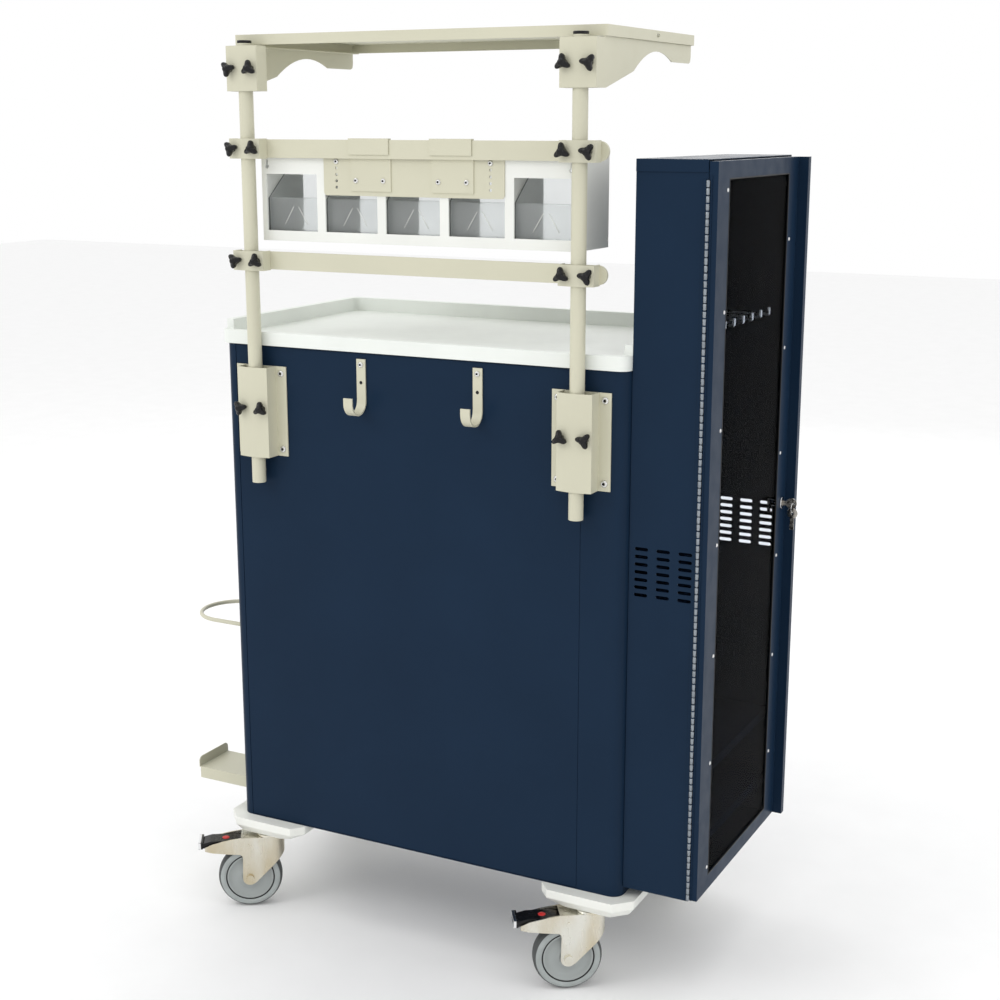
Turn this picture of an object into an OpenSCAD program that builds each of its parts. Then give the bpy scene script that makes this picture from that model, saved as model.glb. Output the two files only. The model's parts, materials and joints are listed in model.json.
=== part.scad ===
// Medication cart: drawer cabinet on four locking casters, side locker with a glazed door,
// and a rear pole frame that carries a shelf, two rails and a rack of tilt-out bins.
// Units are millimetres. The drawers face -Y, the pole frame stands at +Y, the locker is at -X.

/* [Cabinet] */
// Width of the drawer cabinet
body_w = 810; // [740:1:900]
// Depth of the drawer cabinet
body_d = 450; // [440:1:500]
// Height of the drawer cabinet's sheet-steel body
body_h = 935; // [880:1:1000]
// Height of the cabinet's underside above the floor
body_z = 185; // [185:1:200]
// Radius of the cabinet's vertical corners
corner_r = 22; // [12:1:28]
// Thickness of the cabinet's sheet steel
sheet = 2; // [1.5:0.1:2.5]
// Height of the drawers, in shares of the front, from the top down
drawer_units = [1, 1, 2, 2, 3]; // [1:1:4]
// Travel of a drawer on its runners
drawer_travel = 330; // [250:1:340]

/* [Worktop] */
// Overhang of the worktop past the cabinet's sides
worktop_overhang = 5; // [3:0.5:10]
// Height of the worktop's side and front rims above the cabinet
rim_h = 42; // [35:1:50]
// Height of the worktop's low rear lip above the cabinet
rear_lip_h = 25; // [22:1:28]

/* [Locker] */
// Width of the side locker's body
locker_w = 122; // [110:1:140]
// Height of the side locker
locker_h = 1258; // [1200:1:1300]
// Thickness of the locker door
door_t = 15; // [14:0.5:18]
// How far the door's pull flange stands out from the door
pull_out = 18; // [14:1:24]

/* [Casters] */
// Diameter of a caster wheel
wheel_d = 125; // [120:1:125]
// Width of a caster wheel
wheel_w = 32; // [28:1:32]
// Distance from a caster's swivel axis to its axle
trail = 42; // [38:1:44]
// Angle the casters have swivelled to, from the X axis
swivel = 33; // [0:1:90]
// Distance of each caster's swivel axis from the cabinet's side
caster_in_x = 59; // [50:1:70]
// Distance of each caster's swivel axis from the cabinet's back or front
caster_in_y = 10; // [8:1:40]

/* [Pole frame] */
// Diameter of the two poles
pole_d = 25.4; // [24:0.1:26]
// Distance from the middle of the cart to each pole
pole_x = 322; // [315:1:326]
// Height of the poles' lower ends above the floor
pole_z = 868; // [860:1:880]
// Length of a pole
pole_len = 782; // [775:1:790]
// Height of the upper rail's middle
upper_z = 1471; // [1468:1:1474]
// Height of the lower rail's middle
lower_z = 1275; // [1270:1:1280]
// Height of a rail's flat bar
rail_h = 31.75; // [30:0.25:34]
// Width of the top shelf
shelf_w = 716; // [712:1:730]
// Depth of the top shelf
shelf_d = 388; // [386:1:400]
// Height of the top shelf's upper face above the floor
shelf_z = 1666; // [1664:1:1670]

/* [Bin rack] */
// Width of the rack of tilt-out bins
rack_w = 620; // [600:1:622]
// Depth of the rack
rack_d = 130; // [126:1:134]
// Height of the rack
rack_h = 160; // [158:1:164]
// Number of bins in the rack
bin_n = 5; // [5:1:5]

/* [Tank holder] */
// Reach of the tank ring and tray from the cabinet's side
tank_reach = 156; // [145:1:165]
// Radius of the ring's rod line round the tank
ring_r = 68; // [60:1:70]
// Height of the tank ring above the floor
ring_z = 557; // [500:1:620]
// Height of the tank tray above the floor
tray_z = 225; // [220:1:240]

/* [Hidden] */
$fn = 48;

navy = "#1c2d47";
putty = "#d2d0b8";
white = "#eceee6";
black = "#1b1c1e";
zinc = "#c9c3a4";
steel = "#b9bcbe";
grey = "#9aa0a0";

half_w = body_w / 2;
body_top = body_z + body_h;
gap = 0.3;

// front edges
post_w = 14;
rail_edge = 14;
front_gap = 3;
pull_depth = 24;
front_t = 18;
front_h_total = body_h - 2 * rail_edge;
unit_sum = drawer_units[0] + drawer_units[1] + drawer_units[2] + drawer_units[3] + drawer_units[4];
unit_h = front_h_total / unit_sum;
box_half = half_w - 28;
box_back = -30;
box_front = -(body_d - front_t);
runner_h = 24;

// locker
locker_z = body_z + 17;
locker_y = -15;
locker_d = body_d - 25;
locker_x = -half_w - locker_w;
locker_front = locker_y - locker_d;
locker_sheet = 1.5;
door_x = locker_x - 1;
door_face = door_x - door_t;
door_back_y = locker_y;
door_front_y = locker_front + 4;
door_z0 = locker_z + 3;
door_z1 = locker_z + locker_h - 3;
window_y0 = door_back_y - 53;
window_y1 = door_front_y + 54;
window_z0 = door_z0 + 27;
window_z1 = door_z1 - 27;
hinge_x = locker_x - 0.5;
hinge_y = locker_y + 3;
hinge_r = 2.7;
leaf_w = 3;
leaf_off = 3.2;
knuckle_h = 30;
lock_y = door_front_y + 26;
lock_z = locker_z + locker_h / 2;
key_reach = 30;
cam_len = 22;

// poles and rails
pole_r = pole_d / 2;
pole_y = pole_r + 7.3;
rail_t = 5;
rail_back = pole_y - pole_r - gap;
rail_front = rail_back - rail_t;
rail_end = pole_x + 45;
clamp_half = 32;
clamp_back = pole_y + pole_r + 3;
clamp_shoulder = clamp_back - 4.5;
knob_off = 22;
knob_r = 8.8;
knob_len = 17;
bracket_z = 1000;
bracket_h = 166;
bracket_half = 54;
shelf_clamp_z = 1569;
shelf_clamp_h = 77;
shelf_t = 17.7;

// bin rack
rack_top = upper_z - 1;
rack_z = rack_top - rack_h;
rack_back = rail_front - 5;
rack_front = rack_back - rack_d;
wall = 3;
bin_pitch = (rack_w - wall) / bin_n;
bin_pivot_y = rack_front + 10;
bin_pivot_z = rack_z + 14;
bin_wall = 2.2;

// tank holder
tank_y = -115;
rod_r = 4;

// casters
wheel_r = wheel_d / 2;
fork_top = 148;
fork_inner = wheel_w / 2 + 3;
fork_outer = fork_inner + 3;
pedal_tip = 140;
pedal_half = 21;
pivot_z = 131.5;
axle_z = wheel_r;

// the cart's middle in plan, so that the origin is on the floor under the middle of its box
reach_left = door_face - key_reach;
reach_right = half_w + tank_reach;
bumper_out = 26;
reach_front = -body_d - max(pull_depth, bumper_out);
reach_rear = -caster_in_y + pedal_tip * sin(swivel) + pedal_half * cos(swivel);
cart_x = -(reach_left + reach_right) / 2;
cart_y = -(reach_front + reach_rear) / 2;

// ---- helpers -------------------------------------------------------------------------------

// everything is drawn about the middle of the cabinet's back face and moved into the cart's frame
module in_cart() {
    translate([cart_x, cart_y, 0]) children();
}

// a box from its lowest to its highest corner
module block(a, b) {
    translate(a) cube(b - a);
}

// a rectangle from corner to corner with round corners
module round_rect(a, b, r) {
    translate([a[0] + r, a[1]]) square([b[0] - a[0] - 2 * r, b[1] - a[1]]);
    translate([a[0], a[1] + r]) square([b[0] - a[0], b[1] - a[1] - 2 * r]);
    for (x = [a[0] + r, b[0] - r], y = [a[1] + r, b[1] - r]) translate([x, y]) circle(r);
}

module slab(a, b, r, z0, z1) {
    translate([0, 0, z0]) linear_extrude(z1 - z0) round_rect(a, b, r);
}

// a cylinder along X or Y between two places
module rod_x(x0, x1, y, z, r) {
    translate([x0, y, z]) rotate([0, 90, 0]) cylinder(h = x1 - x0, r = r);
}

module rod_y(y0, y1, x, z, r) {
    translate([x, y1, z]) rotate([90, 0, 0]) cylinder(h = y1 - y0, r = r);
}

// an outline drawn in Y and Z, made into a plate between two X places
module side_plate(x0, x1) {
    translate([x0, 0, 0]) rotate([90, 0, 90]) linear_extrude(x1 - x0) children();
}

// a point on a curve between a and c that is drawn towards b
function bend(a, b, c, t) = (1 - t) * (1 - t) * a + 2 * t * (1 - t) * b + t * t * c;

// top and bottom of a drawer's front
function units_above(i) = i == 0 ? 0 : drawer_units[i - 1] + units_above(i - 1);
function front_top(i) = body_top - rail_edge - units_above(i) * unit_h - front_gap / 2;
function front_low(i) = front_top(i) - drawer_units[i] * unit_h + front_gap;

// ---- cabinet ---------------------------------------------------------------------------------

seam_left = half_w - 25;
seam_right = -(half_w - 83);
joggle = 12;

module cabinet_shell() {
    in_cart() color(navy) {
        difference() {
            slab([-half_w, -body_d], [half_w, 0], corner_r, body_z, body_top);
            slab([-half_w + sheet, -body_d + sheet], [half_w - sheet, -sheet], corner_r - sheet,
                body_z + sheet, body_top - sheet);
            block([-half_w + post_w, -body_d - 1, body_z + rail_edge],
                [half_w - post_w, -body_d + corner_r + 4, body_top - rail_edge]);
            block([seam_right, -sheet - 1, body_z + sheet], [seam_left, 1, body_top - sheet]);
        }
        for (x = [seam_left - joggle, seam_right - joggle])
            block([x, -2 * sheet, body_z + 1], [x + 2 * joggle, -sheet + 0.3, body_top - 1]);
    }
}

module back_panel() {
    in_cart() color(navy)
        block([seam_right + 0.8, -sheet + 0.4, body_z + sheet + 0.5],
            [seam_left - 0.8, -0.4, body_top - sheet - 0.5]);
}

bumper_len = 150;
bumper_low = 153;

// one corner bumper, drawn for the +X, +Y corner about the cabinet's own corner
module bumper_plan(out, len, cut) {
    polygon([
        [-len, 4], [-len + 20, out], [out - cut, out], [out, out - cut], [out, -len + 20],
        [4, -len], [-len, -len]
    ]);
}

module corner_bumper() {
    difference() {
        hull() {
            translate([0, 0, bumper_low]) linear_extrude(1) bumper_plan(bumper_out - 12, bumper_len - 32, 26);
            translate([0, 0, bumper_low + 16]) linear_extrude(1) bumper_plan(bumper_out, bumper_len, 30);
            translate([0, 0, body_z - 3]) linear_extrude(2.7) bumper_plan(bumper_out, bumper_len, 30);
        }
        translate([-bumper_len - 1, -bumper_len - 1, bumper_low + 6])
            cube([bumper_len - 80, bumper_len - 80, body_z - bumper_low]);
        translate([-caster_in_x, -caster_in_y, bumper_low - 1]) cylinder(h = 60, r = 10.4);
    }
}

module corner_bumpers() {
    in_cart() color(white) for (side = [0, 1], end = [0, 1])
        mirror([side, 0, 0]) translate([half_w, end * -body_d, 0]) mirror([0, end, 0]) corner_bumper();
}

worktop_half = half_w + worktop_overhang;
worktop_back = 6;
worktop_front = -body_d - 6;
rim_w = 15;
floor_h = 15;

module worktop() {
    in_cart() color(white) difference() {
        slab([-half_w, worktop_front], [worktop_half, worktop_back], 20, body_top, body_top + rim_h);
        slab([-half_w + rim_w, worktop_front + rim_w], [worktop_half - rim_w, worktop_back - rim_w],
            12, body_top + floor_h, body_top + rim_h + 1);
        block([-worktop_half - 1, worktop_back - rim_w - 8, body_top + rear_lip_h],
            [worktop_half + 1, worktop_back + 1, body_top + rim_h + 1]);
    }
}

slide_z = [for (i = [0:4]) front_low(i) + 32];
channel_h = 35;
channel_x = half_w - sheet - 12.7;

module drawer_slides() {
    in_cart() color(steel) for (i = [0:4], side = [0, 1]) mirror([side, 0, 0]) difference() {
        block([box_half + 3, -body_d + 24, slide_z[i] - channel_h / 2],
            [half_w - sheet, -24, slide_z[i] + channel_h / 2]);
        block([box_half - 1, -body_d + 23, slide_z[i] - channel_h / 2 + 2],
            [channel_x, -23, slide_z[i] + channel_h / 2 - 2]);
    }
}

module drawer_box(i) {
    low = front_low(i) + 10;
    high = front_top(i) - 12;
    in_cart() color(grey) {
        difference() {
            block([-box_half, box_front + 0.2, low], [box_half, box_back, high]);
            block([-box_half + sheet, box_front + 0.2 + sheet, low + sheet],
                [box_half - sheet, box_back - sheet, high + 1]);
        }
        for (side = [0, 1]) mirror([side, 0, 0])
            block([box_half, box_front + 20, slide_z[i] - runner_h / 2],
                [channel_x - 1, box_back, slide_z[i] + runner_h / 2]);
    }
}

module drawer_front(i) {
    low = front_low(i);
    high = front_top(i);
    edge = half_w - post_w - front_gap;
    face = -body_d - 2;
    in_cart() color(navy) translate([-edge, 0, 0]) rotate([90, 0, 90]) linear_extrude(2 * edge) {
        difference() {
            translate([face, low]) square([front_t + 2, high - low]);
            translate([face + sheet, low + sheet]) square([front_t + 2, high - low - 2 * sheet]);
        }
        translate([box_front - sheet, low]) square([sheet, high - low]);
        polygon([
            [face + 1, high - 4], [-body_d - pull_depth + 2, high - 12], [-body_d - pull_depth + 2, high - 20],
            [-body_d - pull_depth, high - 20], [-body_d - pull_depth, high - 10.5], [face + 1, high - 1.5]
        ]);
    }
}

// ---- casters -----------------------------------------------------------------------------------

// one caster of the four: side is 1 at +X or -1 at -X, back is 1 at the rear or 0 at the front
module at_caster(side, back) {
    translate([side * (half_w - caster_in_x), back == 1 ? -caster_in_y : -body_d + caster_in_y, 0]) children();
}

module caster_stems() {
    in_cart() color(zinc) for (side = [-1, 1], back = [0, 1]) at_caster(side, back) {
        translate([0, 0, fork_top + 0.4]) cylinder(h = bumper_low - fork_top - 0.7, r = 27);
        translate([0, 0, bumper_low - 1]) cylinder(h = body_z - bumper_low + 0.8, r = 10);
        translate([0, 0, fork_top - 12]) cylinder(h = 14, r = 6);
        translate([0, 0, fork_top - 12]) cylinder(h = 4, r = 10);
    }
}

// outline of the fork's leg, arm and front, in the caster's own X and Z
module leg_outline() {
    polygon([
        [-30, fork_top], [-30, 116], [-14, 98], [trail - 12, axle_z - 9], [trail, axle_z - 14],
        [trail + 10, axle_z - 10], [trail + 14, axle_z], [trail + 13, 108], [trail + 17, 113],
        [trail + 40, 115], [trail + 72, 119], [128, 123], [128, 131], [112, 138], [trail + 36, 145],
        [trail + 14, fork_top]
    ]);
    translate([trail, axle_z]) circle(14);
}

module fork() {
    color(zinc) {
        intersection() {
            translate([0, 0, 40]) linear_extrude(fork_top - 40) difference() {
                union() {
                    translate([-4, 0]) circle(fork_outer);
                    translate([-4, -fork_outer]) square([140, 2 * fork_outer]);
                }
                translate([-4, 0]) circle(fork_inner);
                translate([-4, -fork_inner]) square([150, 2 * fork_inner]);
            }
            translate([0, 40, 0]) rotate([90, 0, 0]) linear_extrude(80) leg_outline();
        }
        difference() {
            translate([0, 0, fork_top - 4]) linear_extrude(4) {
                translate([-4, 0]) circle(fork_outer);
                translate([-4, -fork_outer]) square([trail + 20, 2 * fork_outer]);
            }
            translate([0, 0, fork_top - 5]) cylinder(h = 6, r = 6.06);
        }
        rod_y(-fork_outer - 3, fork_outer + 3, trail, axle_z, 5);
        for (y = [-fork_outer - 5, fork_outer]) rod_y(y, y + 5, trail, axle_z, 8);
        rod_y(-fork_outer - 1.2, fork_outer + 1.2, trail, pivot_z, 3);
    }
}

module wheel() {
    color(grey) translate([trail, 0, axle_z]) rotate([90, 0, 0]) rotate_extrude($fn = 96) difference() {
        union() {
            translate([5.06, -wheel_w / 2]) square([wheel_r - 12.06, wheel_w]);
            translate([5.06, -wheel_w / 2 + 7]) square([wheel_r - 5.06, wheel_w - 14]);
            for (y = [-1, 1]) translate([wheel_r - 7, y * (wheel_w / 2 - 7)]) circle(7);
        }
        for (y = [-1, 1]) translate([46.5, y * wheel_w / 2]) circle(1.2);
    }
}

module pedal() {
    color(black) difference() {
        union() {
            rod_y(-17.5, 17.5, trail, pivot_z, 5.5);
            translate([0, 17.5, 0]) rotate([90, 0, 0]) linear_extrude(35) polygon([
                [trail, pivot_z + 5.5], [trail + 2, pivot_z - 5], [trail + 50, 129], [pedal_tip - 4, 128],
                [pedal_tip - 4, 137], [pedal_tip - 24, 142], [trail + 30, 142]
            ]);
            block([132, -pedal_half, 128], [pedal_tip, pedal_half, 141]);
        }
        rod_y(-20, 20, trail, pivot_z, 3.06);
    }
}

module caster_fork(side, back) { in_cart() at_caster(side, back) rotate([0, 0, swivel]) fork(); }
module caster_wheel(side, back) { in_cart() at_caster(side, back) rotate([0, 0, swivel]) wheel(); }
module caster_pedal(side, back) { in_cart() at_caster(side, back) rotate([0, 0, swivel]) pedal(); }

// ---- tank holder, coat hooks ----------------------------------------------------------------------

module tank_ring() {
    arm_end = half_w + tank_reach - ring_r - rod_r;
    in_cart() color(putty) {
        for (y = [tank_y - ring_r, tank_y + ring_r]) rod_x(half_w + 1, arm_end + 1, y, ring_z, rod_r + 0.05);
        translate([arm_end, tank_y, ring_z]) rotate([0, 0, -90]) rotate_extrude(angle = 180)
            translate([ring_r, 0]) circle(rod_r);
        difference() {
            block([half_w + gap, tank_y - ring_r - 12, ring_z - 14],
                [half_w + 3, tank_y + ring_r + 12, ring_z + 14]);
            for (y = [tank_y - 40, tank_y + 40]) rod_x(half_w - 1, half_w + 4, y, ring_z, 2.7);
        }
    }
}

tray_half = 48;
tray_lip = 22;

module tank_tray() {
    in_cart() color(putty) {
        difference() {
            block([half_w + gap, tank_y - tray_half, tray_z - tray_lip],
                [half_w + tank_reach, tank_y + tray_half, tray_z + 2]);
            block([half_w + 2.3, tank_y - tray_half + 2, tray_z - tray_lip - 1],
                [half_w + tank_reach - 2, tank_y + tray_half - 2, tray_z]);
            block([half_w + tank_reach - 3, tank_y - tray_half - 1, tray_z - tray_lip - 1],
                [half_w + tank_reach + 1, tank_y + tray_half + 1, tray_z]);
        }
        side_plate(half_w + tank_reach - 2, half_w + tank_reach) {
            translate([tank_y - tray_half, tray_z]) square([2 * tray_half, tray_lip - 10]);
            translate([tank_y - tray_half + 10, tray_z]) square([2 * tray_half - 20, tray_lip]);
            for (y = [tank_y - tray_half + 10, tank_y + tray_half - 10])
                translate([y, tray_z + tray_lip - 10]) circle(10);
        }
    }
}

hook_x = [107, -127];
hook_top = 1108;
hook_bend_z = 1034;
hook_w = 18;
hook_bend_r = 24;

module j_hook() {
    difference() {
        union() {
            block([-hook_w / 2, gap, hook_bend_z], [hook_w / 2, 3, hook_top]);
            side_plate(-hook_w / 2, hook_w / 2) intersection() {
                translate([hook_bend_r + gap, hook_bend_z]) difference() {
                    circle(hook_bend_r);
                    circle(hook_bend_r - 3);
                }
                translate([0, hook_bend_z - 60]) square([60, 60]);
            }
            block([-hook_w / 2, 2 * hook_bend_r + gap - 3, hook_bend_z],
                [hook_w / 2, 2 * hook_bend_r + gap, hook_bend_z + 10]);
        }
        for (z = [hook_top - 10, hook_top - 42]) rod_y(-1, 5, 0, z, 2.6);
    }
}

module j_hooks() {
    in_cart() color(putty) for (x = hook_x) translate([x, 0, 0]) j_hook();
}

// ---- locker -----------------------------------------------------------------------------------------

vent_w = 24;
vent_h = 6;
vent_pitch_x = 39;
vent_pitch_z = 13.3;
flange = 12;

module vent_slots() {
    for (col = [-1:1], row = [-3:3])
        translate([locker_x + locker_w / 2 + col * vent_pitch_x, 0, locker_z + locker_h / 2 - 50 + row * vent_pitch_z])
            rotate([-90, 0, 0]) translate([0, 0, locker_front - 5]) linear_extrude(locker_d + 10) {
                square([vent_w - vent_h, vent_h], center = true);
                for (x = [-1, 1]) translate([x * (vent_w - vent_h) / 2, 0]) circle(vent_h / 2);
            }
}

module locker_shell() {
    in_cart() color(navy) difference() {
        block([locker_x, locker_front, locker_z], [-half_w - gap, locker_y, locker_z + locker_h - 3]);
        block([locker_x + locker_sheet, locker_front + locker_sheet, locker_z + locker_sheet],
            [-half_w - gap - locker_sheet, locker_y - locker_sheet, locker_z + locker_h - 3 - locker_sheet]);
        block([locker_x - 1, locker_front + flange, locker_z + flange],
            [locker_x + 3, locker_y - flange, locker_z + locker_h - 3 - flange]);
        vent_slots();
    }
}

module locker_cap() {
    in_cart() color(navy) difference() {
        block([locker_x, locker_front - 2, locker_z + locker_h - 20],
            [-half_w - gap, locker_y + 2, locker_z + locker_h]);
        block([locker_x - 1, locker_front - 0.2, locker_z + locker_h - 21],
            [-half_w + 1, locker_y + 0.2, locker_z + locker_h - 2]);
    }
}

shelf_heights = [locker_z + 88, locker_z + 218];

module locker_shelves() {
    in_cart() color(navy) for (z = shelf_heights) difference() {
        block([locker_x + 4, locker_front + 2, z - 18], [-half_w - 2.4, locker_y - 2, z]);
        block([locker_x + 5.5, locker_front + 1, z - 19], [-half_w - 1, locker_y - 1, z - 1.5]);
    }
}

peg_z = 1182;
peg_tip = locker_x + 10;

module peg_bar() {
    in_cart() color(steel) {
        block([-half_w - 6, locker_front + 30, peg_z - 12], [-half_w - 2.2, locker_y - 100, peg_z + 12]);
        for (i = [0:5]) {
            y = locker_y - 125 - i * 47;
            rod_x(peg_tip, -half_w - 5, y, peg_z, 2.5);
            translate([peg_tip, y, peg_z]) cylinder(h = 12, r = 2.5);
        }
    }
}

hinge_top = door_z1 - 22;
knuckles = floor((hinge_top - door_z0) / knuckle_h);

// one half of the piano hinge: a leaf on the side given and every second knuckle from first on
module hinge_half(side, first) {
    inner = hinge_x + side * leaf_off;
    outer = hinge_x + side * (leaf_off + leaf_w);
    block([min(inner, outer), locker_y + 0.1, door_z0], [max(inner, outer), locker_y + 1.3, hinge_top]);
    for (i = [first:2:knuckles - 1]) translate([0, 0, door_z0 + i * knuckle_h]) difference() {
        union() {
            translate([hinge_x, hinge_y, 0]) cylinder(h = knuckle_h - 0.6, r = hinge_r);
            block([min(hinge_x, inner), locker_y + 0.35, 0], [max(hinge_x, inner), locker_y + 1.3, knuckle_h - 0.6]);
        }
        translate([hinge_x, hinge_y, -1]) cylinder(h = knuckle_h + 1, r = 1.5);
    }
}

// the fixed half of the piano hinge, with its pin
module door_hinge() {
    in_cart() color(steel) {
        hinge_half(1, 0);
        translate([hinge_x, hinge_y, door_z0]) cylinder(h = knuckles * knuckle_h - 1, r = 1.45);
    }
}

module door_panel() {
    web = door_front_y;
    in_cart() color(navy) {
        difference() {
            block([door_face, door_front_y, door_z0], [door_x, door_back_y, door_z1]);
            block([door_face + 1.5, door_front_y + 1.5, door_z0 + 1.5],
                [door_x + 1, door_back_y - 1.5, door_z1 - 1.5]);
            block([door_face - 1, window_y1, window_z0], [door_x + 1, window_y0, window_z1]);
            rod_x(door_face - 1, door_face + 3, lock_y, lock_z, 8.1);
        }
        block([door_face - pull_out, web, door_z0], [door_face + 1, web + 1.5, door_z1]);
        block([door_face - pull_out, web - 13, door_z0], [door_face - pull_out + 1.5, web + 1.5, door_z1]);
        hinge_half(-1, 1);
    }
}

module door_window() {
    in_cart() color("#20242a", 0.5)
        block([door_face + 1.7, window_y1 - 9, window_z0 - 9], [door_face + 4.7, window_y0 + 9, window_z1 + 9]);
}

module lock_barrel() {
    in_cart() color(steel) difference() {
        union() {
            rod_x(door_face - 3, door_face, lock_y, lock_z, 11);
            rod_x(door_face - 1, door_x + 6, lock_y, lock_z, 8);
        }
        rod_x(door_face - 4, door_x + 7, lock_y, lock_z, 6.06);
    }
}

// the part of the lock that turns: plug, latch cam inside the locker, and the key in it
module lock_key() {
    in_cart() color(steel) {
        rod_x(door_face - 3.5, door_x + 10, lock_y, lock_z, 6);
        block([door_x + 7.2, lock_y - 7, lock_z - cam_len], [door_x + 9.6, lock_y + 7, lock_z + 7]);
        block([door_face - 14, lock_y - 1.1, lock_z - 4], [door_face - 3, lock_y + 1.1, lock_z + 4]);
        difference() {
            rod_y(lock_y - 1.1, lock_y + 1.1, door_face - key_reach + 10, lock_z, 10);
            rod_y(lock_y - 2, lock_y + 2, door_face - key_reach + 6, lock_z, 2.5);
        }
    }
}

// ---- pole frame -----------------------------------------------------------------------------------------

// section of a pole clamp round one pole, open towards the front at y0, in plan
module clamp_plan(y0) {
    back = clamp_back;
    difference() {
        polygon([
            [-clamp_half, y0], [-clamp_half, clamp_shoulder], [-10, back], [10, back],
            [clamp_half, clamp_shoulder], [clamp_half, y0]
        ]);
        polygon([
            [-clamp_half + 2, y0 - 1], [-clamp_half + 2, clamp_shoulder - 1.6], [-9.8, back - 2],
            [9.8, back - 2], [clamp_half - 2, clamp_shoulder - 1.6], [clamp_half - 2, y0 - 1]
        ]);
    }
}

module knob_holes(z, r) {
    for (dx = [-knob_off, knob_off]) rod_y(rail_front - 5, clamp_back + 2, dx, z, r);
}

// three-lobed knob with its screw, which reaches forward to shank_end
module knob(shank_end) {
    base = clamp_back - 1.2;
    rod_y(base, base + knob_len, 0, 0, 5.5);
    rod_y(shank_end, base + 1, 0, 0, 3);
    translate([0, base + 3, 0]) rotate([-90, 0, 0]) for (a = [90, 210, 330]) rotate([0, 0, a]) {
        translate([knob_r, 0, 0]) cylinder(h = 9, r = 4);
        translate([0, -3.2, 0]) cube([knob_r, 6.4, 10]);
    }
}

module knob_set(z, shank_end) {
    color(black) for (side = [-1, 1], dx = [-knob_off, knob_off])
        translate([side * pole_x + dx, 0, z]) rotate([0, side * 20 + dx, 0]) knob(shank_end);
}

module pole_brackets() {
    in_cart() color(putty) for (side = [-1, 1]) translate([side * pole_x, 0, bracket_z - bracket_h / 2]) {
        difference() {
            union() {
                linear_extrude(bracket_h) clamp_plan(gap);
                linear_extrude(bracket_h) difference() {
                    translate([-bracket_half, gap]) square([2 * bracket_half, 2.2]);
                    translate([-clamp_half + 2, gap - 1]) square([2 * clamp_half - 4, 4]);
                }
                linear_extrude(bracket_h) translate([-clamp_half + 1, gap])
                    square([2 * clamp_half - 2, pole_y - pole_r - 2 * gap]);
            }
            for (x = [-43, 43], z = [bracket_h / 2 - 70, bracket_h / 2 + 70]) rod_y(-1, 5, x, z, 2.7);
            translate([0, 0, bracket_h / 2 + 8]) knob_holes(0, 3.2);
        }
    }
}

module bracket_knobs() { in_cart() knob_set(bracket_z + 8, 1); }

module poles() {
    in_cart() color(putty) for (side = [-1, 1]) translate([side * pole_x, pole_y, pole_z]) difference() {
        cylinder(h = pole_len, r = pole_r, $fn = 96);
        translate([0, 0, -1]) cylinder(h = pole_len + 2, r = pole_r - 2);
    }
}

module pole_caps() {
    in_cart() color(black) for (side = [-1, 1]) translate([side * pole_x, pole_y, pole_z + pole_len]) {
        cylinder(h = 5, r = pole_r);
        translate([0, 0, -14]) cylinder(h = 15, r = pole_r - 2.05);
    }
}

module top_shelf() {
    x = shelf_w / 2;
    in_cart() color(putty) difference() {
        slab([-x, -shelf_d], [x, -1], 4, shelf_z - shelf_t, shelf_z);
        slab([-x + 1.5, -shelf_d + 1.5], [x - 1.5, -2.5], 2.5, shelf_z - shelf_t - 1, shelf_z - 1.5);
        translate([-x + 3, -shelf_d / 2 - 20, shelf_z - 8]) rotate([0, -90, 0]) linear_extrude(6) {
            square([6, 8], center = true);
            for (y = [-4, 4]) translate([0, y]) circle(3);
        }
    }
}

gusset_low = shelf_clamp_z;
gusset_top = shelf_z - shelf_t;
gusset_end = -shelf_d + 8;

// outline of the gusset under the shelf, in Y and Z
module gusset_outline() {
    arch_rear = [-119, gusset_top - 51];
    arch_top = [-206, gusset_top + 7];
    arch_end = [-289, gusset_top - 31];
    polygon(concat(
        [[clamp_shoulder - 1, shelf_clamp_z + shelf_clamp_h], [clamp_shoulder - 1, gusset_low], [-6, gusset_low]],
        [for (i = [0:12]) bend(arch_rear, arch_top, arch_end, i / 12)],
        [[gusset_end + 8, gusset_top - 31], [gusset_end + 2, gusset_top - 28], [gusset_end, gusset_top - 20],
            [gusset_end, gusset_top - 0.3], [0, gusset_top - 0.3], [0, shelf_clamp_z + shelf_clamp_h]]
    ));
}

module shelf_brackets() {
    in_cart() color(putty) for (side = [0, 1]) mirror([side, 0, 0]) {
        difference() {
            union() {
                translate([pole_x, 0, shelf_clamp_z]) linear_extrude(shelf_clamp_h) clamp_plan(1);
                translate([pole_x, 0, shelf_clamp_z]) linear_extrude(shelf_clamp_h)
                    translate([-clamp_half + 1, 1]) square([2 * clamp_half - 2, rail_back - 1]);
                side_plate(pole_x + clamp_half - 2, pole_x + clamp_half) gusset_outline();
                block([pole_x + clamp_half - 16, gusset_end, gusset_top - 2],
                    [pole_x + clamp_half, -20, gusset_top - 0.3]);
            }
            translate([pole_x, 0, 0]) knob_holes(shelf_clamp_z + 38, 3.2);
        }
    }
}

module shelf_knobs() { in_cart() knob_set(shelf_clamp_z + 38, rail_front + 2); }

module rail(z) {
    r = rail_h / 2;
    color(putty) translate([0, rail_back, z]) rotate([90, 0, 0]) difference() {
        linear_extrude(rail_t) {
            square([2 * (rail_end - r), rail_h], center = true);
            for (x = [-1, 1]) translate([x * (rail_end - r), 0]) circle(r);
        }
        for (side = [-1, 1], dx = [-knob_off, knob_off])
            translate([side * pole_x + dx, 0, -1]) cylinder(h = rail_t + 2, r = 3.05);
    }
}

module rail_clamps(z) {
    height = rail_h + 3;
    color(putty) for (side = [-1, 1]) translate([side * pole_x, 0, z]) difference() {
        translate([0, 0, -height / 2]) linear_extrude(height) clamp_plan(rail_back + 0.1);
        knob_holes(0, 3.2);
    }
}

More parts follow.
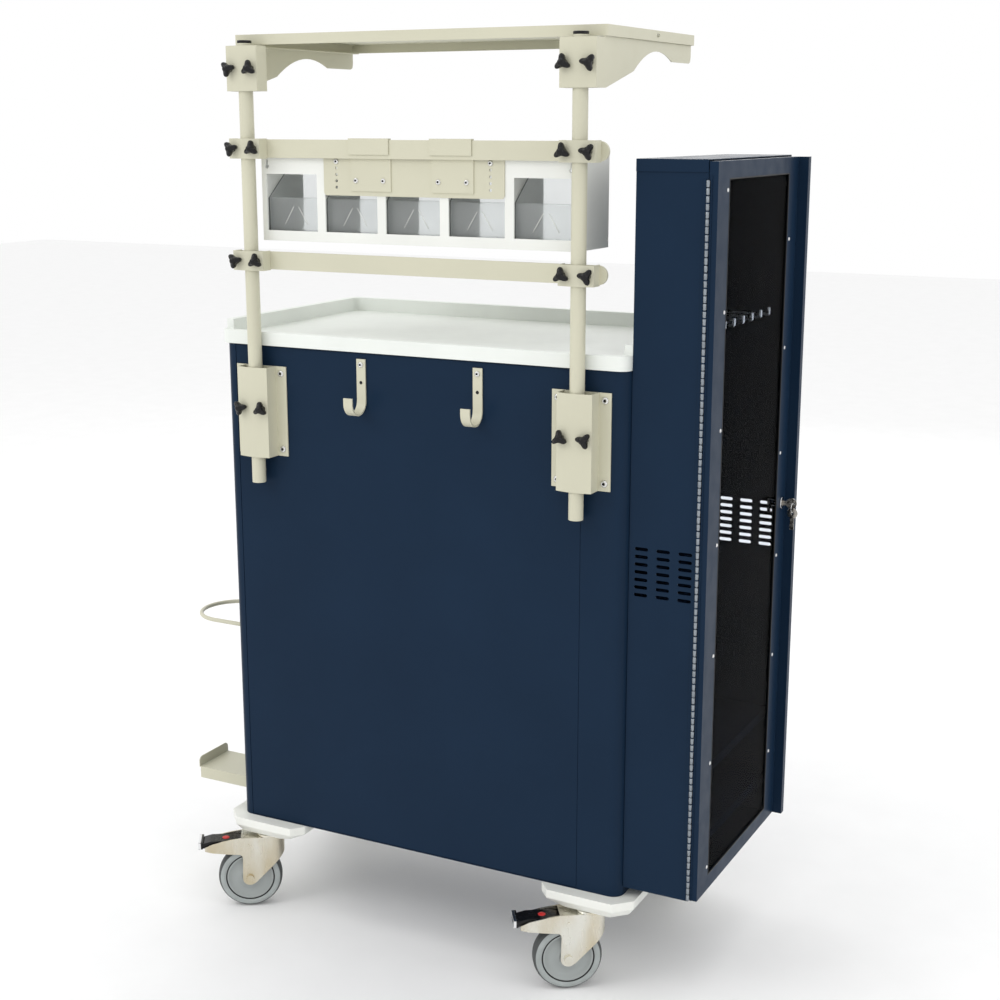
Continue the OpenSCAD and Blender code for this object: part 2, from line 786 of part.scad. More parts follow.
module upper_rail() { in_cart() rail(upper_z); }
module upper_clamps() { in_cart() rail_clamps(upper_z); }
module upper_knobs() { in_cart() knob_set(upper_z, rail_front); }
module lower_rail() { in_cart() rail(lower_z); }
module lower_clamps() { in_cart() rail_clamps(lower_z); }
module lower_knobs() { in_cart() knob_set(lower_z, rail_front); }

// ---- bin rack --------------------------------------------------------------------------------------------

hanger_half = 177;
hanger_low = upper_z - 79;
strap_x = [80, -80];
strap_half = 40;
strap_back = rail_front - 0.4;
plate_back = strap_back - 2;

module rack_hanger() {
    over = upper_z + rail_h / 2 + 0.4;
    in_cart() color(putty) {
        difference() {
            translate([0, plate_back, 0]) rotate([90, 0, 0]) linear_extrude(2)
                round_rect([-hanger_half, hanger_low], [hanger_half, upper_z + 10], 6);
            for (x = [-1, 1], i = [0:4])
                rod_y(plate_back - 3, plate_back + 1, x * (hanger_half - 26), hanger_low + 14 + i * 11, 2.6);
        }
        for (x = strap_x) {
            block([x - strap_half, plate_back, hanger_low + 8], [x + strap_half, strap_back, over + 2]);
            block([x - strap_half, plate_back, over], [x + strap_half, rail_back + 2.4, over + 2]);
            block([x - strap_half, rail_back + 0.4, upper_z - 9], [x + strap_half, rail_back + 2.4, over + 2]);
        }
    }
}

module bin_rack() {
    x = rack_w / 2;
    back = rack_back + 0.5;
    in_cart() color(white) difference() {
        union() {
            block([-x, back - wall, rack_z], [x, back, rack_top]);
            for (i = [0:bin_n]) block([-x + i * bin_pitch, rack_front + 6, rack_z],
                [-x + i * bin_pitch + wall, back, rack_top]);
            block([-x, rack_front + 22, rack_z], [x, back, rack_z + wall]);
            block([-x, rack_front + 30, rack_top - wall], [x, back, rack_top]);
        }
        for (i = [0:bin_n - 1]) block([-x + i * bin_pitch + 10, back - wall - 1, rack_z + 18],
            [-x + (i + 1) * bin_pitch - 7, back + 1, rack_top - 43]);
        for (s = [-1, 1]) {
            rod_y(back - wall - 1, back + 1, s * (x - 12), rack_top - 30, 4);
            translate([s * (x - 12) - 2, back - wall - 1, rack_top - 30]) cube([4, wall + 2, 12]);
        }
        for (i = [0:bin_n])
            rod_x(-x + i * bin_pitch - 1, -x + i * bin_pitch + wall + 1, bin_pivot_y, bin_pivot_z, 3.06);
    }
}

// outline of a bin's side in Y and Z: front wall, rounded foot, sloped back
module bin_outline(inset) {
    f = rack_front + inset;
    b = rack_back - 12 - inset;
    low = rack_z + 5 + inset;
    top = rack_top - 8;
    polygon([
        [f, low + 9 - inset], [f + 9 - inset, low], [b - 14, low], [b - 4, low + 6], [b, low + 14],
        [b, top - 78], [f + 22, top + (inset > 0 ? 1 : 0)], [f, top + (inset > 0 ? 1 : 0)]
    ]);
}

module bin(i) {
    x0 = -rack_w / 2 + i * bin_pitch + wall + 0.8;
    x1 = -rack_w / 2 + (i + 1) * bin_pitch - 0.8;
    in_cart() color("#c8d0d2", 0.6) {
        difference() {
            side_plate(x0, x1) bin_outline(0);
            side_plate(x0 + bin_wall, x1 - bin_wall) bin_outline(bin_wall);
            block([x0 + bin_wall, rack_front + bin_wall, rack_top - 84],
                [x1 - bin_wall, rack_back - 8, rack_top + 1]);
        }
        for (x = [x0 - 2, x1 - 0.5]) rod_x(x, x + 2.5, bin_pivot_y, bin_pivot_z, 3);
    }
}

cabinet_shell();
back_panel();
corner_bumpers();
worktop();
drawer_slides();
pole_brackets();
bracket_knobs();
tank_ring();
tank_tray();
locker_shell();
locker_cap();
locker_shelves();
peg_bar();
door_hinge();
caster_stems();
j_hooks();
caster_fork(1, 1);  // fork_rear_left
caster_fork(-1, 1);  // fork_rear_right
caster_fork(1, 0);  // fork_front_left
caster_fork(-1, 0);  // fork_front_right
caster_wheel(1, 1);  // wheel_rear_left
caster_wheel(-1, 1);  // wheel_rear_right
caster_wheel(1, 0);  // wheel_front_left
caster_wheel(-1, 0);  // wheel_front_right
caster_pedal(1, 1);  // pedal_rear_left
caster_pedal(-1, 1);  // pedal_rear_right
caster_pedal(1, 0);  // pedal_front_left
caster_pedal(-1, 0);  // pedal_front_right
poles();
pole_caps();
top_shelf();
shelf_brackets();
shelf_knobs();
upper_rail();
upper_clamps();
upper_knobs();
lower_rail();
lower_clamps();
lower_knobs();
bin_rack();
rack_hanger();
bin(0);  // bin_1
bin(1);  // bin_2
bin(2);  // bin_3
bin(3);  // bin_4
bin(4);  // bin_5
door_panel();
door_window();
lock_barrel();
lock_key();
drawer_box(0);  // drawer_box_1
drawer_box(1);  // drawer_box_2
drawer_box(2);  // drawer_box_3
drawer_box(3);  // drawer_box_4
drawer_box(4);  // drawer_box_5
drawer_front(0);  // drawer_front_1
drawer_front(1);  // drawer_front_2
drawer_front(2);  // drawer_front_3
drawer_front(3);  // drawer_front_4
drawer_front(4);  // drawer_front_5
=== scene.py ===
import json
import math

import bmesh
import bpy
from mathutils import Matrix, Vector


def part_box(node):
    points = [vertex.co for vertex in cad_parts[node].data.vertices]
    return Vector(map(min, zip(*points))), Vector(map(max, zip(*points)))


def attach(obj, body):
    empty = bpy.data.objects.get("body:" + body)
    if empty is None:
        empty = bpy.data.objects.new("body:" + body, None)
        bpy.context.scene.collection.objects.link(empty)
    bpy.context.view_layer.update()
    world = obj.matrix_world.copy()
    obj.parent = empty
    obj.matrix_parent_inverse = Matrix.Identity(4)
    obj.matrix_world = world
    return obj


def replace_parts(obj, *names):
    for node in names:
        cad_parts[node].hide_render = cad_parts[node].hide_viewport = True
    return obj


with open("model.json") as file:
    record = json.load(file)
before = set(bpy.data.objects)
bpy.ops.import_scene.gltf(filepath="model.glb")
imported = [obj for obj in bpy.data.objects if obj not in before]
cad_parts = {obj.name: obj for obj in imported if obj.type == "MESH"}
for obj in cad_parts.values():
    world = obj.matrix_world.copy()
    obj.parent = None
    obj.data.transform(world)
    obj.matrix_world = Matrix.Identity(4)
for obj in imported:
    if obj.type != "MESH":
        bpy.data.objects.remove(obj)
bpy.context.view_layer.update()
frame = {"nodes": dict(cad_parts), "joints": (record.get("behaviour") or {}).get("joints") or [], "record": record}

MM = 0.001
NODES = frame["nodes"]
JOINTS = {joint["name"]: joint for joint in frame["joints"]}
BODY_OF = {node: body for body, nodes in frame["record"]["behaviour"]["bodies"].items() for node in nodes}
SLOT_OF = {row["node"]: row["material_slot"] for row in frame["record"]["subparts"]}
CASTERS = ("rear_left", "rear_right", "front_left", "front_right")
SIDES = (-1, 1)


# ---- materials: every one is procedural, in the piece's own coordinates (metres) ----

class Shader:
    """A Principled material with short calls for the textures that drive it."""

    def __init__(self, name, color, roughness, metallic=0.0, **constants):
        self.material = bpy.data.materials.new(name)
        self.material.use_nodes = True
        self.tree = self.material.node_tree
        self.bsdf = self.tree.nodes["Principled BSDF"]
        self.bsdf.inputs["Base Color"].default_value = (*color, 1)
        self.bsdf.inputs["Roughness"].default_value = roughness
        self.bsdf.inputs["Metallic"].default_value = metallic
        for socket, value in constants.items():
            self.bsdf.inputs[socket.replace("_", " ")].default_value = value
        self.coordinates = self.tree.nodes.new("ShaderNodeTexCoord").outputs["Object"]
        self.normal = None

    def noise(self, scale, detail=3.0, stretch=(1, 1, 1)):
        """Cloudy variation; a larger scale makes it finer."""
        mapping = self.tree.nodes.new("ShaderNodeMapping")
        mapping.inputs["Scale"].default_value = stretch
        self.tree.links.new(self.coordinates, mapping.inputs["Vector"])
        texture = self.tree.nodes.new("ShaderNodeTexNoise")
        texture.inputs["Scale"].default_value = scale
        texture.inputs["Detail"].default_value = detail
        self.tree.links.new(mapping.outputs["Vector"], texture.inputs["Vector"])
        return texture.outputs["Fac"]

    def cells(self, scale):
        """Pebbled grain, as on textured plastic."""
        texture = self.tree.nodes.new("ShaderNodeTexVoronoi")
        texture.inputs["Scale"].default_value = scale
        self.tree.links.new(self.coordinates, texture.inputs["Vector"])
        return texture.outputs["Distance"]

    def ramp(self, factor, low, high, start, end):
        ramp = self.tree.nodes.new("ShaderNodeValToRGB")
        ramp.color_ramp.elements[0].position = start
        ramp.color_ramp.elements[1].position = end
        ramp.color_ramp.elements[0].color = (*low, 1)
        ramp.color_ramp.elements[1].color = (*high, 1)
        self.tree.links.new(factor, ramp.inputs["Fac"])
        return ramp.outputs["Color"]

    def tint(self, factor, low, high, start=0.3, end=0.7):
        """Lets the base colour wander between two colours."""
        self.tree.links.new(self.ramp(factor, low, high, start, end), self.bsdf.inputs["Base Color"])

    def vary_roughness(self, factor, low, high):
        spread = self.tree.nodes.new("ShaderNodeMapRange")
        spread.inputs["From Min"].default_value = 0.3
        spread.inputs["From Max"].default_value = 0.7
        spread.inputs["To Min"].default_value = low
        spread.inputs["To Max"].default_value = high
        self.tree.links.new(factor, spread.inputs["Value"])
        self.tree.links.new(spread.outputs["Result"], self.bsdf.inputs["Roughness"])

    def bump(self, factor, strength, depth):
        """Adds one layer of relief on top of those already there."""
        bump = self.tree.nodes.new("ShaderNodeBump")
        bump.inputs["Strength"].default_value = strength
        bump.inputs["Distance"].default_value = depth
        self.tree.links.new(factor, bump.inputs["Height"])
        if self.normal is not None:
            self.tree.links.new(self.normal, bump.inputs["Normal"])
        self.normal = bump.outputs["Normal"]
        self.tree.links.new(self.normal, self.bsdf.inputs["Normal"])


def shades(color, spread):
    """A darker and a lighter version of a colour."""
    return [channel * (1 - spread) for channel in color], [channel * (1 + spread) for channel in color]


def powder_coat(name, color, roughness, spread=0.06, ior=1.4):
    made = Shader(name, color, roughness, IOR=ior)
    made.tint(made.noise(5, 4), *shades(color, spread))
    made.vary_roughness(made.noise(30, 5), roughness - 0.05, roughness + 0.07)
    made.bump(made.noise(260, 2), 0.10, 0.0006)
    made.bump(made.noise(1100, 2), 0.06, 0.0003)
    return made.material


def moulded_plastic(name, color, roughness, grain=0.0, spread=0.03, **constants):
    made = Shader(name, color, roughness, **constants)
    made.tint(made.noise(9, 3), *shades(color, spread))
    made.vary_roughness(made.noise(60, 4), roughness - 0.05, roughness + 0.06)
    made.bump(made.noise(180, 2), 0.04, 0.0005)
    if grain:
        made.bump(made.cells(900), grain, 0.0004)
    return made.material


def plated_zinc(name):
    made = Shader(name, (0.70, 0.66, 0.52), 0.3, metallic=1.0)
    made.tint(made.noise(16, 5, (1, 1, 0.35)), (0.58, 0.50, 0.34), (0.78, 0.77, 0.70), 0.32, 0.66)
    made.vary_roughness(made.noise(70, 5, (1, 1, 0.2)), 0.16, 0.34)
    made.bump(made.noise(500, 3), 0.05, 0.0003)
    return made.material


def polished_metal(name, color, roughness):
    made = Shader(name, color, roughness, metallic=1.0)
    made.vary_roughness(made.noise(120, 5), roughness * 0.7, roughness * 1.8)
    made.bump(made.noise(700, 2), 0.02, 0.0002)
    return made.material


def rubber(name, color, roughness):
    made = Shader(name, color, roughness, Specular_IOR_Level=0.35)
    made.tint(made.noise(40, 6), *shades(color, 0.10))
    made.vary_roughness(made.noise(90, 5), roughness - 0.08, roughness + 0.1)
    made.bump(made.noise(420, 4), 0.15, 0.0004)
    return made.material


def clear_sheet(name, color, roughness, transmission, ior, haze):
    made = Shader(name, color, roughness, Transmission_Weight=transmission, IOR=ior)
    made.tint(made.noise(12, 3), *shades(color, 0.04))
    made.vary_roughness(made.noise(25, 5), roughness, roughness + haze)
    return made.material


NAVY = powder_coat("navy_powder_coat", (0.0085, 0.0220, 0.0470), 0.34, ior=1.16)
# painted shade: a far darker navy with little sheen that stands in for the shade inside the cabinet and the locker
NAVY_PAINTED_SHADE = powder_coat("navy_painted_shade", (0.0016, 0.0030, 0.0065), 0.6, ior=1.02)
PUTTY = powder_coat("putty_powder_coat", (0.600, 0.585, 0.455), 0.38, 0.03)
GREY_STEEL = powder_coat("grey_powder_coat", (0.42, 0.44, 0.45), 0.42, 0.04)
WHITE = moulded_plastic("white_abs", (0.84, 0.85, 0.80), 0.34, grain=0.03)
WHITE_GRAIN = moulded_plastic("white_abs_grained", (0.80, 0.83, 0.79), 0.42, grain=0.16)
RACK_WHITE = moulded_plastic("rack_white", (0.80, 0.81, 0.77), 0.36)
BLACK = moulded_plastic(
    "black_nylon", (0.0045, 0.0045, 0.0052), 0.24, grain=0.05, spread=0.2, Specular_IOR_Level=0.3)
RED = moulded_plastic("red_marker", (0.55, 0.02, 0.02), 0.35)
CARD = moulded_plastic("label_card", (0.86, 0.86, 0.82), 0.7)
ZINC = plated_zinc("yellow_zinc")
STEEL = polished_metal("bright_steel", (0.72, 0.72, 0.71), 0.22)
CHROME = polished_metal("chrome", (0.86, 0.86, 0.87), 0.08)
HINGE_STEEL = polished_metal("hinge_steel", (0.30, 0.33, 0.36), 0.4)
# the keys' nickel is given a dark colour, well below the bright steel
NICKEL = polished_metal("dark_nickel", (0.36, 0.34, 0.31), 0.2)
TREAD = rubber("dark_grey_tread", (0.075, 0.080, 0.080), 0.62)
SIDEWALL = rubber("light_grey_sidewall", (0.36, 0.39, 0.385), 0.5)
HUB = moulded_plastic("grey_hub", (0.33, 0.355, 0.35), 0.38)
SEAL = rubber("black_seal", (0.01, 0.01, 0.01), 0.5)
CLEAR = clear_sheet("clear_bin", (0.90, 0.92, 0.92), 0.10, 0.90, 1.30, 0.08)
SMOKED = clear_sheet("smoked_glazing", (0.72, 0.76, 0.82), 0.0, 1.0, 1.02, 0.015)

SLOT_MATERIAL = {
    "navy_steel": NAVY, "putty_steel": PUTTY, "grey_steel": GREY_STEEL, "zinc_steel": ZINC,
    "chrome": CHROME, "white_plastic": WHITE, "black_plastic": BLACK, "grey_tyre": SIDEWALL,
    "clear_plastic": CLEAR, "smoked_glazing": SMOKED,
}
NODE_MATERIAL = {
    # the locker's shelves take the painted shade of the locker's inside
    "worktop": WHITE_GRAIN, "bin_rack": RACK_WHITE, "locker_shelves": NAVY_PAINTED_SHADE,
    "peg_bar": STEEL, "drawer_slides": STEEL, "lock_barrel": CHROME, "lock_key": NICKEL,
}


def finish_of(node):
    """The material of a CAD node: its own, or else that of its slot in the record."""
    return NODE_MATERIAL.get(node) or SLOT_MATERIAL[SLOT_OF[node]]


# ---- mesh helpers ----

def add_to_scene(name, data):
    placed = bpy.data.objects.new(name, data)
    bpy.context.scene.collection.objects.link(placed)
    return placed


def new_piece(name, mesh, body, materials):
    """A mesh in the scene that rides on a body and has the given materials."""
    piece = add_to_scene(name, mesh)
    for material in materials:
        mesh.materials.append(material)
    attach(piece, body)
    return piece


def mesh_from(name, build):
    """A mesh made by a function that fills a bmesh."""
    mesh = bpy.data.meshes.new(name)
    shape = bmesh.new()
    build(shape)
    bmesh.ops.recalc_face_normals(shape, faces=shape.faces)
    shape.to_mesh(mesh)
    shape.free()
    return mesh


def built_piece(name, build, body, materials):
    """A new piece whose mesh is made by a function that fills a bmesh."""
    return new_piece(name, mesh_from(name, build), body, materials)


def soften(piece, width, segments=2, angle=28):
    """Rounds a piece's edges and shades it smooth."""
    for polygon in piece.data.polygons:
        polygon.use_smooth = True
    bevel = piece.modifiers.new("round_edges", "BEVEL")
    bevel.width = width
    bevel.segments = segments
    bevel.limit_method = "ANGLE"
    bevel.angle_limit = math.radians(angle)
    bevel.use_clamp_overlap = True
    weighted = piece.modifiers.new("face_normals", "WEIGHTED_NORMAL")
    weighted.weight = 100
    weighted.keep_sharp = True


def refined(node, width, segments=2):
    """A copy of a CAD node with its flat faces joined and its edges rounded, in its place."""
    mesh = NODES[node].data.copy()
    mesh.materials.clear()
    shape = bmesh.new()
    shape.from_mesh(mesh)
    bmesh.ops.remove_doubles(shape, verts=shape.verts, dist=1e-6)
    bmesh.ops.dissolve_limit(shape, angle_limit=math.radians(0.6), verts=shape.verts, edges=shape.edges)
    shape.to_mesh(mesh)
    shape.free()
    mesh.name = node + "_finished"
    piece = new_piece(node + "_finished", mesh, BODY_OF[node], [finish_of(node)])
    soften(piece, width, segments)
    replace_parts(piece, node)
    return piece


def lathe(shape, profile, place, steps=48):
    """Turns a profile of (radius, height, material) about the place's Z axis.

    A point's material is that of the band from it to the next point.
    """
    rings = []
    for radius, height, _ in profile:
        if radius < 1e-7:
            rings.append([shape.verts.new(place @ Vector((0, 0, height)))])
            continue
        rings.append([
            shape.verts.new(place @ Vector((radius * math.cos(turn), radius * math.sin(turn), height)))
            for turn in (2 * math.pi * k / steps for k in range(steps))
        ])
    for (lower, upper), (_, _, material) in zip(zip(rings, rings[1:]), profile):
        for k in range(steps):
            after = (k + 1) % steps
            if len(lower) == 1 and len(upper) == 1:
                continue
            if len(lower) == 1:
                face = shape.faces.new((lower[0], upper[k], upper[after]))
            elif len(upper) == 1:
                face = shape.faces.new((lower[k], lower[after], upper[0]))
            else:
                face = shape.faces.new((lower[k], lower[after], upper[after], upper[k]))
            face.material_index = material
            face.smooth = True


def facing(origin, direction, turn=0.0):
    """A placement whose Z axis points along a direction."""
    quaternion = Vector(direction).to_track_quat("Z", "Y")
    return Matrix.Translation(origin) @ quaternion.to_matrix().to_4x4() @ Matrix.Rotation(turn, 4, "Z")


BOX_FACES = ((0, 1, 3, 2), (4, 6, 7, 5), (0, 4, 5, 1), (2, 3, 7, 6), (0, 2, 6, 4), (1, 5, 7, 3))


def box_piece(shape, low, high, material=0, place=Matrix()):
    """A box between two corners, in a place of its own where one is given."""
    corners = [shape.verts.new(place @ Vector((x, y, z)))
               for x in (low[0], high[0]) for y in (low[1], high[1]) for z in (low[2], high[2])]
    for indices in BOX_FACES:
        shape.faces.new([corners[i] for i in indices]).material_index = material


def tube(shape, points, radius, steps):
    """A round rod along a list of points, closed where the last one is the first."""
    rings = []
    for k, point in enumerate(points):
        ahead = points[min(k + 1, len(points) - 1)] - points[max(k - 1, 0)]
        place = facing(point, ahead.normalized())
        rings.append([
            shape.verts.new(place @ Vector((radius * math.cos(t), radius * math.sin(t), 0)))
            for t in (2 * math.pi * s / steps for s in range(steps))
        ])
    closed = (points[0] - points[-1]).length < 1e-6
    if closed:
        rings[-1] = rings[0]
    for lower, upper in zip(rings, rings[1:]):
        for s in range(steps):
            after = (s + 1) % steps
            shape.faces.new((lower[s], lower[after], upper[after], upper[s])).smooth = True
    if not closed:
        shape.faces.new(list(reversed(rings[0])))
        shape.faces.new(rings[-1])


# ---- places: millimetres from the middle of the cabinet's back face, at floor height ----

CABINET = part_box("cabinet_shell")
BACK_MIDDLE = Vector(((CABINET[0].x + CABINET[1].x) / 2, CABINET[1].y, 0))


def mm(x, y, z):
    return Vector((x, y, z)) * MM


def at(x, y, z):
    """A point given in millimetres from the cabinet's back, as a point of the frame."""
    return BACK_MIDDLE + mm(x, y, z)


def middle(node):
    low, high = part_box(node)
    return (low + high) / 2


BACKWARDS = (0, 1, 0)
TOWARDS_TANK = (1, 0, 0)
TOWARDS_LOCKER = (-1, 0, 0)

POLE_X = 322           # both poles' distance from the cart's middle
BRACKET_Z = 1000       # middle of the pole brackets
COAT_HOOK_X = (107, -127)
DOOR_FACE_X = -543     # outside of the locker's door
DOOR_MIDDLE_Z = 831    # half the door's height, where the lock is
DRAWER_FACE_Y = -452   # outside of the drawer fronts


# ---- CAD parts that keep their shape and get rounded edges and a finish ----

EDGE_WIDTH = {
    "cabinet_shell": 0.5, "back_panel": 0.4, "tank_tray": 0.6, "locker_shell": 0.5, "locker_cap": 0.6,
    "locker_shelves": 0.4, "j_hooks": 0.5, "pole_brackets": 0.7, "top_shelf": 1.0, "shelf_brackets": 0.6,
    "upper_rail": 0.8, "lower_rail": 0.8, "upper_clamps": 0.7, "lower_clamps": 0.7, "rack_hanger": 0.5,
    "bin_rack": 0.8, "door_panel": 0.5, "worktop": 3.0, "corner_bumpers": 5.0, "pole_caps": 1.2,
    "caster_stems": 0.8, "tank_ring": 0.4, "peg_bar": 0.4, "lock_barrel": 0.6,
}
for row in range(1, 6):
    EDGE_WIDTH[f"drawer_front_{row}"] = 0.5
    EDGE_WIDTH[f"drawer_box_{row}"] = 0.4
    EDGE_WIDTH[f"bin_{row}"] = 0.8
for place in CASTERS:
    EDGE_WIDTH[f"fork_{place}"] = 0.8
pieces = {node: refined(node, width * MM, 3 if width > 2 else 2) for node, width in EDGE_WIDTH.items()}


def paint_shade_inside(node, depth):
    """Paints shade on the faces that look into a sheet-metal box: they take the darker navy that stands in for the
    shade inside.
    """
    mesh = pieces[node].data
    low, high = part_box(node)
    heart = middle(node)
    mesh.materials.append(NAVY_PAINTED_SHADE)
    for polygon in mesh.polygons:
        centre = polygon.center
        buried = all(low[k] + depth < centre[k] < high[k] - depth for k in range(3))
        if buried and polygon.normal.dot(centre - heart) < 0:
            polygon.material_index = 1


# painted shade inside the locker and the cabinet
paint_shade_inside("locker_shell", 1.0 * MM)
paint_shade_inside("cabinet_shell", 1.0 * MM)

# these are shown as the CAD has them and only get a finish
for node in ("poles", "drawer_slides", "door_window"):
    slots = NODES[node].material_slots
    if not slots:
        NODES[node].data.materials.append(finish_of(node))
    for slot in slots:
        slot.material = finish_of(node)


# ---- screws and rivets ----

SUNK = 0.0002  # metres that a head goes into its sheet, so no gap shows


def screw_profile(radius, height):
    """A pan head with a round recess; material 1 is painted shade: the recess is black to stand in for its shade.
    """
    return [
        (0, height * 0.45, 1), (radius * 0.36, height * 0.45, 1), (radius * 0.40, height * 0.98, 0),
        (radius * 0.70, height * 0.90, 0), (radius * 0.92, height * 0.55, 0), (radius, 0.1 * height, 0),
        (radius, -SUNK, 0), (0, -SUNK, 0),
    ]


def rivet_profile(radius, height):
    """A domed head."""
    return [
        (0, height, 0), (radius * 0.45, height * 0.93, 0), (radius * 0.8, height * 0.62, 0),
        (radius, 0.12 * height, 0), (radius, -SUNK, 0), (0, -SUNK, 0),
    ]


def fasteners(name, body, profile, spots, direction, finish=STEEL):
    """A set of equal fasteners on one body, all facing one way."""
    def build(shape):
        for spot in spots:
            lathe(shape, profile, facing(spot, direction), 24)
    # black is material 1, the painted shade in a screw's recess
    built_piece(name, build, body, [finish, BLACK])


fasteners(
    "bracket_screws", "root", screw_profile(6.4 * MM, 3.4 * MM),
    [at(side * POLE_X + dx, 2.6, BRACKET_Z + dz) for side in SIDES for dx in (-43, 43) for dz in (-70, 70)],
    BACKWARDS,
)
fasteners(
    "coat_hook_screws", "root", screw_profile(5.2 * MM, 2.8 * MM),
    [at(x, 3.1, 1098) for x in COAT_HOOK_X], BACKWARDS,
)
# painted shade: flat black discs stand in for the shade inside the empty lower holes of the coat hooks
fasteners(
    "coat_hook_lower_holes_painted_shade", "root", rivet_profile(3.1 * MM, 0.5 * MM),
    [at(x, 3.1, 1066) for x in COAT_HOOK_X], BACKWARDS, BLACK,
)
fasteners(
    "tank_ring_screws", "root", screw_profile(5.0 * MM, 2.6 * MM),
    [at(408.1, y, 557) for y in (-75, -155)], TOWARDS_TANK,
)
fasteners(
    "hanger_screws", BODY_OF["rack_hanger"], screw_profile(4.8 * MM, 2.4 * MM),
    [at(x, 1.7, 1418) for x in (110, 55, -53, -107)] + [at(side * 151, -0.3, 1450) for side in SIDES],
    BACKWARDS,
)

# two rows on the door, the front one shifted by half a pitch
RIVET_PITCH = 193.5
fasteners(
    "door_rivets", "locker_door", rivet_profile(3.4 * MM, 1.5 * MM),
    [at(DOOR_FACE_X, y, DOOR_MIDDLE_Z + (k - (count - 1) / 2) * RIVET_PITCH)
     for y, count in ((-61, 7), (-393, 6)) for k in range(count)],
    TOWARDS_LOCKER,
)


# ---- door glazing's seal ----

def build_seal(shape):
    """A flat frame round the window's opening, just proud of the door's face."""
    y_rear, y_front, z_low, z_high = -68, -382, 232, 1430
    width, proud, sunk = 2.2, 0.35, 1.6
    for y0, y1, z0, z1 in (
        (y_rear - width, y_rear, z_low, z_high), (y_front, y_front + width, z_low, z_high),
        (y_front + width, y_rear - width, z_low, z_low + width),
        (y_front + width, y_rear - width, z_high - width, z_high),
    ):
        box_piece(shape, at(DOOR_FACE_X - proud, y0, z0), at(DOOR_FACE_X + sunk, y1, z1))


soften(built_piece("window_seal", build_seal, "locker_door", [SEAL]), 0.3 * MM)


# ---- piano hinge: a row of fine knuckles on the door's axis, and its fixed leaf ----

def build_hinge(shape):
    axis_x, axis_y = -527.5, -12
    bottom, pitch, count = 205, 12, 102
    pin, knuckle = 1.9, 2.9
    profile = [(0, 0.1, 0), (pin, 0.1, 0), (knuckle, 1.0, 0), (knuckle, pitch - 1.6, 0),
               (pin, pitch - 0.7, 0), (0, pitch - 0.7, 0)]
    for k in range(count):
        foot = at(axis_x, axis_y, bottom + k * pitch)
        lathe(shape, [(r * MM, h * MM, m) for r, h, m in profile], Matrix.Translation(foot), 16)
    box_piece(shape, at(-524.3, -14.9, bottom), at(-518.1, -13.7, bottom + pitch * count), 1)


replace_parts(built_piece("piano_hinge", build_hinge, "root", [HINGE_STEEL, NAVY]), "door_hinge")


# ---- three-lobed clamping knobs ----

KNOB_BASE_Y = 34.5     # where a knob's lobes begin, behind the cabinet's back
KNOB_SPACING = 22      # each knob's distance from its pole's middle
KNOB_HEIGHT = 17
LEVELS = {             # height of each pair of knobs, and where their screws end
    "bracket": (1008, 1), "shelf": (1607, 4), "upper": (1471, 2), "lower": (1275, 2),
}
LOBE_RINGS = (         # height above the base, lobes' reach, hub's radius, how far the lobes stand out
    (-1.5, 5.6, 5.6, 0), (2.4, 5.6, 5.6, 0), (3.2, 10.6, 6.4, 1), (4.6, 14.0, 6.9, 1),
    (8.6, 14.6, 7.2, 1), (11.0, 13.8, 7.0, 1), (12.6, 11.0, 6.4, 1), (13.3, 7.4, 5.8, 0.6),
    (15.6, 5.4, 5.4, 0), (16.6, 4.4, 4.4, 0), (KNOB_HEIGHT, 2.2, 2.2, 0),
)


def build_knob(shape, place, shank):
    """A hub with three tapering lobes about the place's Z axis, and its screw towards -Z."""
    steps = 54
    rings = []
    for height, reach, hub, lobed in LOBE_RINGS:
        ring = []
        for k in range(steps):
            turn = 2 * math.pi * k / steps
            crest = (0.5 + 0.5 * math.cos(3 * turn)) ** 1.7
            lean = 0.10 * lobed * crest * (height / KNOB_HEIGHT)
            radius = (hub + (reach - hub) * crest * lobed) if lobed else hub
            ring.append(shape.verts.new(place @ Vector((
                radius * math.cos(turn + lean) * MM, radius * math.sin(turn + lean) * MM, height * MM))))
        rings.append(ring)
    for lower, upper in zip(rings, rings[1:]):
        for k in range(steps):
            after = (k + 1) % steps
            shape.faces.new((lower[k], lower[after], upper[after], upper[k])).smooth = True
    shape.faces.new(rings[-1]).smooth = True
    shape.faces.new(list(reversed(rings[0])))
    lathe(shape, [(0, -shank * MM, 1), (2.8 * MM, -shank * MM, 1), (2.8 * MM, 0, 1), (0, 0, 1)], place, 20)


for level, (height, shank_end) in LEVELS.items():
    def build_knobs(shape, height=height, shank_end=shank_end):
        for side in SIDES:
            for dx in (-KNOB_SPACING, KNOB_SPACING):
                turn = math.radians(90 + side * 20 + dx)  # so that no two knobs stand alike
                place = facing(at(side * POLE_X + dx, KNOB_BASE_Y, height), BACKWARDS, turn)
                build_knob(shape, place, KNOB_BASE_Y - shank_end)

    node = f"{level}_knobs"
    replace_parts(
        built_piece(node + "_lobed", build_knobs, BODY_OF[node], [BLACK, STEEL]), node)


# ---- caster wheels, brake pedals and their markers ----

